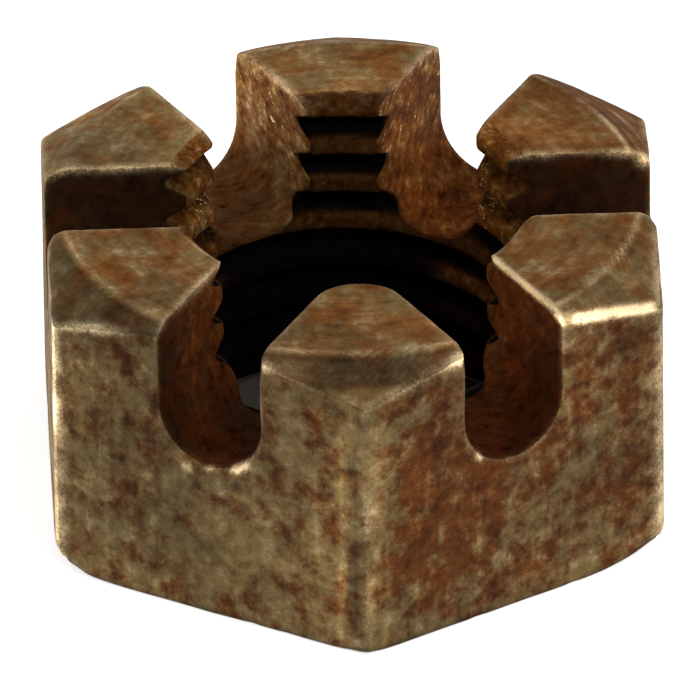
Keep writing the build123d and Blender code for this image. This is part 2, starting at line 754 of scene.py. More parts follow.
@dataclass(frozen=True)
class Depths:
    """Measures how deep points lie behind each of the nut's surfaces."""

    size: NutSizes
    probe: float = 0.004

    def at(self, points: np.ndarray) -> np.ndarray:
        """Depths behind every surface.

        Formula: along the normal for a flat, straight down for the top, straight up for
        the base, and the distance from the slot's and the bore's own section.

        Args:
            points: places in millimetres, one row of three a point.

        Returns:
            One row a point and one column for each Side, in its order.
        """
        size = self.size
        x, y, z = points.T
        radius = np.hypot(x, y)
        turns = SECTOR * np.arange(SIDES)
        reach = np.sort(np.outer(x, np.cos(turns)) + np.outer(y, np.sin(turns)), axis=1)
        slot = np.full(len(points), np.inf)
        for side in range(SIDES // 2):
            off = seen_from(side, points)[1] - size.shift(side)
            below = np.hypot(off, np.minimum(z - size.slot_centre, 0.0))
            slot = np.minimum(slot, below - size.slot_half_width)
        columns = {
            Side.FLAT: size.apothem - reach[:, -1],
            Side.NEXT_FLAT: size.apothem - reach[:, -2],
            Side.TOP: size.crown(radius) - z,
            Side.BASE: z - size.bearing(points[:, :2]),
            Side.SLOT: slot,
            Side.BORE: radius - size.bore(np.arctan2(y, x), z),
        }
        return np.stack([columns[side] for side in Side], axis=1)

    def slopes(self, points: np.ndarray) -> np.ndarray:
        """Direction in which each depth grows, by small steps along the three axes.

        Args:
            points: places in millimetres, one row of three a point.

        Returns:
            One row a point, then one for each Side, then X, Y and Z.
        """
        steps = self.probe * np.eye(3)
        grown = [(self.at(points + step) - self.at(points - step)) for step in steps]
        slope = np.stack(grown, axis=-1) / (2 * self.probe)
        return slope / np.maximum(np.linalg.norm(slope, axis=-1, keepdims=True), 1e-6)

    def distance(self, deep: np.ndarray, edge: Edge) -> np.ndarray:
        """Distance of surface points from an edge, out of what at() gave for them."""
        first, second = (np.maximum(deep[:, side], 0.0) for side in edge.value)
        return np.hypot(first, second)

    def rounded(self, points: np.ndarray, edge: Edge, radius: np.ndarray) -> np.ndarray:
        """Points moved inwards to a round edge.

        Formula: where both depths are under the radius, the pair of what is missing to
        the radius is shortened to the radius itself, which puts the point on the arc.

        Args:
            points: places in millimetres, one row of three a point.
            edge: the edge to round.
            radius: radius of the arc, one a point.

        Returns:
            The new places.
        """
        deep, slopes = self.at(points), self.slopes(points)
        first, second = edge.value
        missing = np.stack([radius - deep[:, first], radius - deep[:, second]], axis=1)
        near = (missing > 0).all(axis=1)
        length = np.maximum(np.linalg.norm(missing, axis=1), 1e-9)
        move = missing * np.where(near, 1 - np.minimum(radius / length, 1.0), 0.0)[:, None]
        return points + move[:, :1] * slopes[:, first] + move[:, 1:] * slopes[:, second]


@dataclass(frozen=True)
class Rounding:
    """Radii of the worn edges, in millimetres: front and back, and how uneven they are."""

    depths: Depths
    front: dict[Edge, float] = field(
        default_factory=lambda: {
            Edge.CROWN_LINE: 0.18,
            Edge.RIM: 0.20,
            Edge.LIP: 0.14,
            Edge.JAMB: 0.24,
            Edge.CORNER: 0.13,
            Edge.INNER: 0.18,
            Edge.FOOT: 0.12,
        }
    )
    back: dict[Edge, float] = field(
        default_factory=lambda: {Edge.CROWN_LINE: 0.05, Edge.RIM: 0.14, Edge.JAMB: 0.06}
    )
    front_to_back: tuple[float, float] = (-1.0, 3.0)
    foot_corner: float = 0.50
    foot_corner_reach: float = 1.2
    foot_corner_left: float = 0.35
    top_corner: float = 0.16
    top_corner_reach: float = 0.4
    worn_tip: tuple[float, float] = (5.0, -1.4)
    worn_tip_extra: float = 0.45
    worn_tip_reach: float = 0.8
    uneven_share: float = 0.45
    unevenness: Unevenness = Unevenness(1.1, 2, 11)

    def radius(self, edge: Edge, points: np.ndarray) -> np.ndarray:
        """Radius of an edge's arc at each point.

        Formula: the front value goes over to the back value across the middle of the
        nut. The foot is worn most at the left and right corners, most of all the left
        one, and one merlon's inner tip is worn round.

        Args:
            edge: the edge.
            points: places in millimetres.

        Returns:
            One radius a point.
        """
        x, y, _ = points.T
        size, deep = self.depths.size, self.depths.at(points)
        front = self.front[edge]
        back = self.back.get(edge, front)
        radius = front + (back - front) * smooth_step(y, *self.front_to_back)
        if edge is Edge.FOOT:
            corner = np.hypot(np.abs(x) - size.apothem, y + size.half_side)
            more = self.foot_corner * (1 - self.foot_corner_left * np.sign(x))
            radius = radius + more * bell(corner, self.foot_corner_reach)
        if edge is Edge.JAMB:
            radius = radius + self.top_corner * bell(deep[:, Side.TOP], self.top_corner_reach)
        if edge is Edge.CROWN_LINE:
            radius = radius + self.top_corner * bell(deep[:, Side.SLOT], self.top_corner_reach)
        if edge is Edge.INNER:
            tip = np.hypot(x - self.worn_tip[0], y - self.worn_tip[1])
            radius = radius + self.worn_tip_extra * bell(tip, self.worn_tip_reach)
        return radius * (1 + self.uneven_share * self.unevenness.at(points))


@dataclass(frozen=True)
class Burr:
    """Lump of metal that the slot cutter pushed out over a flat, bright with wear and a painted
    highlight, or a pit beside it in painted shade.
    """

    side: int
    along: float
    height: float
    spread: float
    lift: float
    # Above 0 a painted highlight on the lump, below 0 painted shade in the pit.
    shine: float

    def share(self, size: NutSizes, points: np.ndarray) -> np.ndarray:
        """Bell curve of the distance from the lump's centre, 1 at the centre."""
        centre = np.append(beside(self.side, size.apothem, self.along), self.height)
        return bell(np.linalg.norm(points - centre, axis=1), self.spread)

    def raised(self, size: NutSizes, points: np.ndarray) -> np.ndarray:
        """Points pushed out square to the flat by the lump's lift."""
        out = np.append(beside(self.side, 1.0, 0.0), 0.0)
        return points + (self.lift * self.share(size, points))[:, None] * out


BURRS = (
    Burr(side=4, along=0.90, height=5.26, spread=0.17, lift=0.16, shine=1.2),
    Burr(side=4, along=1.18, height=5.40, spread=0.16, lift=0.16, shine=1.1),
    Burr(side=4, along=-0.71, height=4.84, spread=0.17, lift=0.12, shine=1.9),
    Burr(side=4, along=0.02, height=5.02, spread=0.14, lift=0.08, shine=0.6),
    Burr(side=4, along=-0.15, height=4.62, spread=0.42, lift=0.12, shine=0.15),
    Burr(side=4, along=0.42, height=4.30, spread=0.26, lift=0.12, shine=0.3),
    Burr(side=4, along=0.84, height=4.52, spread=0.18, lift=-0.12, shine=-0.8),
    Burr(side=4, along=1.90, height=5.45, spread=0.40, lift=-0.03, shine=-0.3),
    Burr(side=5, along=-1.22, height=5.48, spread=0.15, lift=0.10, shine=0.9),
    Burr(side=5, along=-0.12, height=5.16, spread=0.13, lift=0.08, shine=0.7),
)


# ---------------------------------------------------------------------------------------
# welding and wear
# ---------------------------------------------------------------------------------------


def placed(made: bpy.types.Object) -> bpy.types.Object:
    """The object itself, now linked into the scene."""
    bpy.context.scene.collection.objects.link(made)
    return made


class SteelMesh:
    """One closed mesh welded from grids, to be worn at its edges and roughened."""

    WELD_GRAIN = 2e-4
    WELD_OFFSETS = (0.13, 0.46, 0.79)
    SLOT_UPWARDS = 0.5

    def __init__(self, patches: list[Patch]) -> None:
        """Welds the grids and turns each to face outwards.

        Args:
            patches: grids whose borders share their points.
        """
        quads, kinds, owners, start = [], [], [], 0
        for patch in patches:
            rows, columns = patch.points.shape[:2]
            index = start + np.arange(rows * columns).reshape(rows, columns)
            corners = [index[:-1, :-1], index[1:, :-1], index[1:, 1:], index[:-1, 1:]]
            quads.append(np.stack([corner.ravel() for corner in corners], axis=1))
            kinds.append(np.full(len(quads[-1]), int(patch.face)))
            owners.append(np.full(len(quads[-1]), len(owners)))
            start += rows * columns
        self.corner_source = np.concatenate(quads)
        self.kind = np.concatenate(kinds)
        self.marks = np.concatenate([patch.marks.reshape(-1, 2) for patch in patches])
        self.points, joined = self._welded(
            np.concatenate([patch.points.reshape(-1, 3) for patch in patches])
        )
        self.quads = joined[self.corner_source]
        self._orient(np.concatenate(owners))
        lines = [np.stack([self.quads[:, i], self.quads[:, (i + 1) % 4]], 1) for i in range(4)]
        self.pairs = np.unique(np.sort(np.concatenate(lines), axis=1), axis=0)

    @classmethod
    def _welded(cls, points: np.ndarray) -> tuple[np.ndarray, np.ndarray]:
        """Joins points that fall into one small cell, with the cells shifted each time, so
        that no cell's border keeps two of them apart.

        Args:
            points: the points of every grid.

        Returns:
            The points that are left, and for each given point the number of the one it became.
        """
        joined = np.arange(len(points))
        for offset in cls.WELD_OFFSETS:
            key = np.floor(points / cls.WELD_GRAIN + offset).astype(np.int64)
            _, first, group = np.unique(key, axis=0, return_index=True, return_inverse=True)
            points, joined = points[first], group.reshape(-1)[joined]
        return points, joined

    def _orient(self, owner: np.ndarray) -> None:
        """Turns each grid to face away from the steel, going by its kind and place.

        Args:
            owner: which grid each face belongs to.
        """
        middle = self.points[self.quads].mean(axis=1)
        out = middle * (1.0, 1.0, 0.0)
        wanted = np.where((self.kind == Face.THREAD)[:, None], -out, out)
        wanted[self.kind == Face.CROWN] = (0.0, 0.0, 1.0)
        wanted[self.kind == Face.BEARING] = (0.0, 0.0, -1.0)
        side = np.round(np.arctan2(middle[:, 1], middle[:, 0]) / SECTOR) * SECTOR
        along = middle[:, 1] * np.cos(side) - middle[:, 0] * np.sin(side)
        up = np.full_like(side, self.SLOT_UPWARDS)
        away = np.stack([along * np.sin(side), -along * np.cos(side), up], axis=1)
        wanted = np.where((self.kind == Face.SLOT)[:, None], away, wanted)
        turned = np.bincount(owner, (self._spans() * wanted).sum(axis=1))[owner] < 0
        self.quads[turned] = self.quads[turned][:, ::-1]
        self.corner_source[turned] = self.corner_source[turned][:, ::-1]

    def _spans(self) -> np.ndarray:
        """Cross product of each face's diagonals: its direction, as long as twice its area."""
        corners = self.points[self.quads]
        return np.cross(corners[:, 2] - corners[:, 0], corners[:, 3] - corners[:, 1])

    def _gathered(self, per_face: np.ndarray) -> np.ndarray:
        """Sum at each point of a number that each face has."""
        return np.bincount(self.quads.ravel(), np.repeat(per_face, 4), len(self.points))

    def _neighbours_mean(self) -> np.ndarray:
        """Mean place of each point's neighbours.

        Returns:
            One row of three a point.
        """
        count = len(self.points)
        start, end = self.pairs.T
        degree = np.bincount(start, minlength=count) + np.bincount(end, minlength=count)
        total = [
            np.bincount(start, given[end], count) + np.bincount(end, given[start], count)
            for given in self.points.T
        ]
        return np.stack(total, axis=1) / degree[:, None]

    def normals(self) -> np.ndarray:
        """Unit normal of each point, the mean of its faces' unit normals.

        Returns:
            One row of three a point.
        """
        spans = self._spans()
        units = spans / np.maximum(np.linalg.norm(spans, axis=1, keepdims=True), 1e-12)
        total = np.stack([self._gathered(given) for given in units.T], axis=1)
        return total / np.maximum(np.linalg.norm(total, axis=1, keepdims=True), 1e-9)

    def face_share(self, kind: Face) -> np.ndarray:
        """Share of the faces round each point that are of the given kind."""
        wanted = self._gathered((self.kind == kind).astype(float))
        return wanted / np.maximum(self._gathered(np.ones(len(self.kind))), 1)

    def soften(self, passes: int, strength: np.ndarray) -> None:
        """Moves each point towards its neighbours' mean, a share of the way on each pass."""
        for _ in range(passes):
            self.points += strength[:, None] * (self._neighbours_mean() - self.points)

    def build(self, name: str, layers: dict[str, np.ndarray]) -> bpy.types.Object:
        """Puts the mesh into the scene, in metres.

        Args:
            name: the piece's name.
            layers: named numbers, one a point, for the finishes to read.

        Returns:
            The new object.
        """
        mesh = bpy.data.meshes.new(name)
        mesh.from_pydata((self.points * MM).tolist(), [], self.quads.tolist())
        mesh.polygons.foreach_set("material_index", self.kind.astype(np.int32))
        mesh.polygons.foreach_set("use_smooth", np.ones(len(self.kind), bool))
        chart = mesh.uv_layers.new(name=MARKS)
        chart.data.foreach_set("uv", self.marks[self.corner_source].astype(np.float32).ravel())
        for layer, values in layers.items():
            attribute = mesh.attributes.new(layer, "FLOAT", "POINT")
            attribute.data.foreach_set("value", values.astype(np.float32))
        mesh.validate()
        mesh.update()
        return placed(bpy.data.objects.new(name, mesh))


# ---------------------------------------------------------------------------------------
# the shader board
# ---------------------------------------------------------------------------------------

Colour = tuple[float, float, float]


def shade(red: int, green: int, blue: int) -> Colour:
    """Light values of a colour that is given as a screen shows it, each part 0 to 255."""
    values = [part / 255 for part in (red, green, blue)]
    return tuple(v / 12.92 if v <= 0.04045 else ((v + 0.055) / 1.055) ** 2.4 for v in values)


class Wire:
    """One socket's output, with Python's operators making the nodes that work on it."""

    def __init__(self, board: "Board", socket: bpy.types.NodeSocket) -> None:
        """Keeps the output's board and its socket."""
        self.board = board
        self.socket = socket

    @property
    def is_vector(self) -> bool:
        """True for a vector or a colour."""
        return self.socket.type in ("VECTOR", "RGBA")

    def _maths(self, operation: str, *sides: "Operand") -> "Wire":
        """Adds the node for an operator, on values or on vectors.

        Args:
            operation: the node's operation.
            sides: the left and the right side.

        Returns:
            The result.
        """
        kind = "ShaderNodeMath"
        if any(isinstance(side, Wire) and side.is_vector for side in sides):
            kind = "ShaderNodeVectorMath"
            sides = [(side,) * 3 if isinstance(side, float) else side for side in sides]
        return self.board.node(kind, {"operation": operation}, dict(enumerate(sides)))

    def __add__(self, other: "Operand") -> "Wire":
        """Sum."""
        return self._maths("ADD", self, other)

    def __radd__(self, other: "Operand") -> "Wire":
        """Sum, from the right."""
        return self._maths("ADD", other, self)

    def __sub__(self, other: "Operand") -> "Wire":
        """Difference."""
        return self._maths("SUBTRACT", self, other)

    def __rsub__(self, other: "Operand") -> "Wire":
        """Difference, from the right."""
        return self._maths("SUBTRACT", other, self)

    def __mul__(self, other: "Operand") -> "Wire":
        """Product."""
        return self._maths("MULTIPLY", self, other)

    def __rmul__(self, other: "Operand") -> "Wire":
        """Product, from the right."""
        return self._maths("MULTIPLY", other, self)

    def step(self, low: float, high: float) -> "Wire":
        """Smooth ramp from 0 at low to 1 at high.

        Args:
            low: where the ramp starts.
            high: where it ends.

        Returns:
            The ramp's value.
        """
        settings = {"interpolation_type": "SMOOTHSTEP"}
        values = {"Value": self, "From Min": low, "From Max": high}
        return self.board.node("ShaderNodeMapRange", settings, values)


Operand: TypeAlias = Wire | float | tuple[float, ...]


class Board:
    """The nodes of one material, or of the world."""

    def __init__(self, owner: bpy.types.Material | bpy.types.World) -> None:
        """Empties the board of a new material or world.

        Args:
            owner: the material or world.
        """
        owner.use_nodes = True
        self.owner = owner
        self.tree = owner.node_tree
        self.tree.nodes.clear()

    def node(
        self,
        kind: str,
        settings: dict[str, object] | None = None,
        inputs: dict[int | str, Operand] | None = None,
        output: int | str = 0,
    ) -> Wire | None:
        """Adds one node.

        Args:
            kind: the node's type.
            settings: its settings, set before the sockets; "stops" fills a ramp.
            inputs: values or wires, by socket name or number.
            output: which output to hand back.

        Returns:
            That output, or None from a node that has none.
        """
        made = self.tree.nodes.new(kind)
        for key, value in (settings or {}).items():
            if key == "stops":
                self._fill_ramp(made.color_ramp, value)
            else:
                setattr(made, key, value)
        for key, value in (inputs or {}).items():
            if isinstance(value, Wire):
                self.tree.links.new(value.socket, made.inputs[key])
            else:
                made.inputs[key].default_value = value
        return Wire(self, made.outputs[output]) if len(made.outputs) else None

    @staticmethod
    def _fill_ramp(ramp: bpy.types.ColorRamp, stops: list[tuple[float, Colour]]) -> None:
        """Sets a ramp's stops.

        Args:
            ramp: the ramp.
            stops: place and colour of each stop.
        """
        while len(ramp.elements) < len(stops):
            ramp.elements.new(1.0)
        for element, (place, colour) in zip(ramp.elements, stops):
            element.position = place
            element.color = (*colour, 1.0)

    def mix(self, factor: Operand, first: Operand, second: Operand) -> Wire:
        """Colour between two colours.

        Args:
            factor: 0 for the first, 1 for the second.
            first: a colour or a wire.
            second: a colour or a wire.

        Returns:
            The mixed colour.
        """
        sides = [side if isinstance(side, Wire) else (*side, 1.0) for side in (first, second)]
        values = {0: factor, 6: sides[0], 7: sides[1]}
        settings = {"data_type": "RGBA", "clamp_factor": True}
        return self.node("ShaderNodeMix", settings, values, 2)

    def noise(self, place: Wire, scale: float, detail: float, roughness: float) -> Wire:
        """Cloudy noise round 0.5, with so many lumps a unit of place and finer layers."""
        values = {"Vector": place, "Scale": scale, "Detail": detail, "Roughness": roughness}
        return self.node("ShaderNodeTexNoise", {"noise_dimensions": "3D"}, values)

    def layer(self, name: str) -> Wire:
        """Numbers stored on the mesh's points under the given name."""
        settings = {"attribute_type": "GEOMETRY", "attribute_name": name}
        return self.node("ShaderNodeAttribute", settings, output="Fac")


# ---------------------------------------------------------------------------------------
# finishes
# ---------------------------------------------------------------------------------------

Palette = tuple[Colour, Colour, Colour, Colour]


@dataclass(frozen=True)
class Mottling:
    """The noises of one finish, each a value round 0.5."""

    cloud: Wire
    hue: Wire
    grit: Wire
    streak: Wire


@dataclass(frozen=True)
class OldSteel:
    """Bare steel with a grey-brown film, red rust in patches, dirt and painted shade, and bright
    edges of wear and painted highlight.
    """

    name: str
    film: Palette = (shade(65, 49, 24), shade(92, 73, 42), shade(110, 91, 56), shade(139, 122, 88))
    rust: Palette = (shade(50, 22, 4), shade(73, 38, 12), shade(95, 54, 21), shade(126, 86, 44))
    # Dark colours for dirt and for painted shade in the slots and the bore.
    dirt_and_shade: Colour = shade(38, 25, 11)
    red_dirt_and_shade: Colour = shade(78, 33, 7)
    bright: Colour = shade(240, 212, 165)
    patch_size: float = 0.5
    contrast: float = 2.2
    redness: float = 0.0
    hue_scale: float = 0.62
    hue_contrast: float = 3.4
    hue_from_tone: float = 0.5
    grit_scale: float = 14.0
    grit_share: float = 0.25
    streak_share: float = 0.24
    streak_along: float = 0.3
    streak_across: float = 4.0
    dirt_and_shade_contrast: float = 1.5
    edge_share: float = 0.55
    edge_contrast: float = 1.8
    glint: float = 0.0
    fleck_ramp: tuple[float, float] = (0.58, 0.70)
    speck_ramp: tuple[float, float] = (0.55, 0.65)
    bump: float = 0.5
    bump_height: float = 0.00006
    roughness: float = 0.62
    metallic: float = 0.35
    gloss: float = 0.12

    HUE_SHIFT = (7.3, 1.9, 4.1)
    PER_METRE = (1 / MM, 1 / MM, 1 / MM)

    def _mottling(self, board: Board) -> Mottling:
        """Reads the noises: three of them in space, and one along the tool marks.

        Args:
            board: the material's board.

        Returns:
            The noises.
        """
        place = board.node("ShaderNodeTexCoord", output="Object") * self.PER_METRE
        chart = board.node("ShaderNodeUVMap", {"uv_map": MARKS})
        scale = (self.streak_along, self.streak_across, 1.0)
        stretched = {"Vector": chart, "Scale": scale}
        marks = board.node("ShaderNodeMapping", {"vector_type": "POINT"}, stretched)
        return Mottling(
            cloud=board.noise(place, 1 / self.patch_size, 5.0, 0.7),
            hue=board.noise(place + self.HUE_SHIFT, self.hue_scale / self.patch_size, 5.0, 0.65),
            grit=board.noise(place, self.grit_scale, 2.0, 0.5),
            streak=board.noise(marks, 1.0, 2.0, 0.5),
        )

    def _tone(self, noise: Mottling) -> Wire:
        """How pale the steel is: clouds, scratches and grit, each by its share.

        Args:
            noise: the finish's noises.

        Returns:
            0 for dark, 1 for pale.
        """
        tone = 0.5 + (noise.cloud - 0.5) * self.contrast
        tone = tone + (noise.streak - 0.5) * (self.contrast * self.streak_share)
        return tone + (noise.grit - 0.5) * self.grit_share

    @staticmethod
    def _palette(board: Board, tone: Wire, palette: Palette) -> Wire:
        """Colour for each tone, from the palette's darkest at 0 to its palest at 1."""
        stops = [(index / (len(palette) - 1), colour) for index, colour in enumerate(palette)]
        return board.node("ShaderNodeValToRGB", {"stops": stops}, {"Fac": tone})

    def _wear_and_highlight(self, board: Board, noise: Mottling) -> Wire:
        """How bright the wear and the painted highlights are: patchy edges, glinting flecks along
        the tool marks where there is neither dirt nor painted shade, and bare specks with painted
        glints where the mesh asks for them.

        Args:
            board: the material's board.
            noise: the finish's noises.

        Returns:
            0 for none, 1 for bare steel.
        """
        uneven = self.edge_share + (noise.cloud + noise.grit - 0.75) * self.edge_contrast
        edge = board.layer("edge") * uneven
        if self.glint:
            # Share with neither dirt nor painted shade, where the glinting flecks show.
            clean_and_lit = 1 - board.layer("grime")
            fleck = (noise.streak * 0.6 + noise.grit * 0.4).step(*self.fleck_ramp)
            speck = (noise.grit * 0.6 + noise.streak * 0.4).step(*self.speck_ramp)
            edge = edge + fleck * clean_and_lit * clean_and_lit * clean_and_lit * self.glint
            edge = edge + board.layer("specks") * speck
        return edge.step(0.0, 1.0)

    def build(self) -> bpy.types.Material:
        """Makes the material.

        Formula: film and rust are coloured by one tone and mixed by patches of red. Dirt and
        painted shade lie over them, bright wear and painted highlights break through, and the
        painted light and shade on the mesh's points, with uneven tone, make all of it lighter or
        darker.

        Returns:
            The material, with its board wired up.
        """
        board = Board(bpy.data.materials.new(self.name))
        noise = self._mottling(board)
        tone = self._tone(noise)
        red = board.layer("red") + self.redness + (noise.hue - 0.5) * self.hue_contrast
        red = (red - (tone - 0.5) * self.hue_from_tone).step(0.0, 1.0)
        # This layer is dirt and painted shade; it mixes the colour towards the dark dirt and shade
        # colours.
        grime = board.layer("grime")
        grime = (grime + (noise.cloud - 0.5) * 0.5 * grime).step(0.0, 1.0)
        edge = self._wear_and_highlight(board, noise)
        film = self._palette(board, tone, self.film)
        dirt_and_shade = board.mix(red, self.dirt_and_shade, self.red_dirt_and_shade) * (1 + (tone - 0.5) * self.dirt_and_shade_contrast)
        colour = board.mix(red, film, self._palette(board, tone, self.rust))
        colour = board.mix(edge, board.mix(grime, colour, dirt_and_shade), self.bright)
        streaks = noise.streak * (0.75 * self.streak_share)
        relief = noise.cloud * 0.9 + noise.grit * 0.25 + streaks - red * 0.1
        height = {"Strength": self.bump, "Distance": self.bump_height, "Height": relief}
        values = {
            # Painted light and shade, with uneven tone, scale the colour here.
            "Base Color": colour * board.layer("shine"),
            "Roughness": self.roughness + 0.18 * red - 0.16 * edge + 0.2 * grime,
            "Metallic": self.metallic + edge * 0.4 + grime * 0.4,
            "Normal": board.node("ShaderNodeBump", {}, height),
            "Specular IOR Level": self.gloss,
        }
        surface = board.node("ShaderNodeBsdfPrincipled", {}, values)
        board.node("ShaderNodeOutputMaterial", {}, {"Surface": surface})
        return board.owner


TOP_FILM = (shade(78, 59, 29), shade(103, 80, 44), shade(120, 98, 60), shade(156, 135, 98))
TOP_RUST = (shade(78, 42, 11), shade(108, 65, 24), shade(125, 81, 36), shade(148, 106, 63))
WALL_FILM = (shade(72, 43, 13), shade(106, 73, 32), shade(130, 98, 54), shade(174, 142, 98))
WALL_RUST = (shade(62, 26, 1), shade(98, 52, 8), shade(124, 74, 22), shade(168, 119, 55))

FINISHES: dict[Face, OldSteel] = {
    Face.FLAT: OldSteel("flat_steel", streak_across=3.0, streak_along=0.2),
    Face.CROWN: OldSteel(
        "crown_steel",
        film=TOP_FILM,
        rust=TOP_RUST,
        redness=0.1,
        patch_size=0.8,
        contrast=2.5,
        streak_along=0.1,
        streak_across=3.6,
    ),
    Face.SLOT: OldSteel(
        "slot_steel",
        film=WALL_FILM,
        rust=WALL_RUST,
        # Dark colours for dirt and painted shade in the slots.
        dirt_and_shade=shade(46, 26, 10),
        red_dirt_and_shade=shade(88, 39, 9),
        bright=shade(236, 204, 156),
        redness=0.15,
        contrast=2.6,
        hue_contrast=2.0,
        streak_share=0.32,
        streak_along=2.6,
        streak_across=5.0,
        glint=0.9,
    ),
    Face.THREAD: OldSteel(
        "thread_steel",
        film=WALL_FILM,
        rust=WALL_RUST,
        # Near black for old grease and painted shade deep in the bore.
        dirt_and_shade=shade(5, 3, 5),
        red_dirt_and_shade=shade(7, 3, 3),
        bright=shade(220, 184, 132),
        redness=0.5,
        contrast=2.6,
        patch_size=0.3,
        streak_along=4.0,
        streak_across=6.0,
        glint=1.0,
        roughness=0.75,
    ),
    Face.BEARING: OldSteel("bearing_steel"),
}


# ---------------------------------------------------------------------------------------
# the piece
# ---------------------------------------------------------------------------------------


class Zones:
    """Where each point of the nut lies, in shares from 0 to 1 that shade into each other."""

    SIDEWAYS = (2.6, 3.6)
    FRONT_DEPTH = 3.0
    OFF_SIDE_FLATS = (0.05, 0.4)
    TOP_SKIN = 0.05
    SIDE_SKIN = 0.02

    def __init__(self, size: NutSizes, points: np.ndarray) -> None:
        """Measures the points.

        Args:
            size: the nut's sizes.
            points: places in millimetres before the edges were rounded.
        """
        self.size = size
        self.points = points
        self.depths = Depths(size)
        self.deep = self.depths.at(points)
        self.x, self.y, self.z = points.T
        self.radius = np.hypot(self.x, self.y)
        self.past_crown = self.radius - size.crown_radius
        self.right = smooth_step(self.x, *self.SIDEWAYS)
        self.left = smooth_step(-self.x, *self.SIDEWAYS)
        self.front = smooth_step(self.y, 0.0, -self.FRONT_DEPTH)
        self.facing = smooth_step(size.apothem - np.abs(self.x), *self.OFF_SIDE_FLATS)
        self.on_top = self.deep[:, Side.TOP] < self.TOP_SKIN
        self.at_slot = self.deep[:, Side.SLOT] < self.SIDE_SKIN
        self.on_flat = (self.deep[:, Side.FLAT] < self.SIDE_SKIN) & ~self.on_top
        self.in_slot = self.at_slot & ~self.on_flat & ~self.on_top

    def near(self, edge: Edge, width: float | np.ndarray) -> np.ndarray:
        """Bell curve of the distance from an edge, 1 at the edge."""
        return bell(self.depths.distance(self.deep, edge), width)


@dataclass(frozen=True)
class Spot:
    """Soft lump in space: its middle, reach and strength, and how much taller than wide."""

    middle: tuple[float, float, float]
    reach: float
    strength: float
    tall: float = 1.0

    def at(self, points: np.ndarray) -> np.ndarray:
        """Strength at each point: a bell curve of the distance from the middle."""
        away = (points - self.middle) / (1.0, 1.0, self.tall)
        return self.strength * bell(np.linalg.norm(away, axis=1), self.reach)


@dataclass(frozen=True)
class Streak:
    """Upright scratch on a flat, or a dark band where its strength is below 0."""

    side: int
    along: float
    width: float
    strength: float
    seed: int

    def at(self, zones: Zones) -> np.ndarray:
        """What the streak adds to the lightness.

        Formula: a bell curve of the distance along the flat, made uneven up and down, and
        fading towards the foot and the crown.

        Args:
            zones: where the points lie.

        Returns:
            One number a point.
        """
        out, here = seen_from(self.side, zones.points)
        lumps = Unevenness(0.8, 2, self.seed).at(zones.points * (0.3, 0.3, 1.0))
        uneven = np.clip(0.7 + 1.3 * lumps, 0.0, 1.5) * (out > zones.size.apothem - 0.05)
        ends = smooth_step(zones.z, 0.2, 1.2) * smooth_step(zones.z, 8.2, 7.0)
        return self.strength * bell(here - self.along, self.width) * uneven * ends


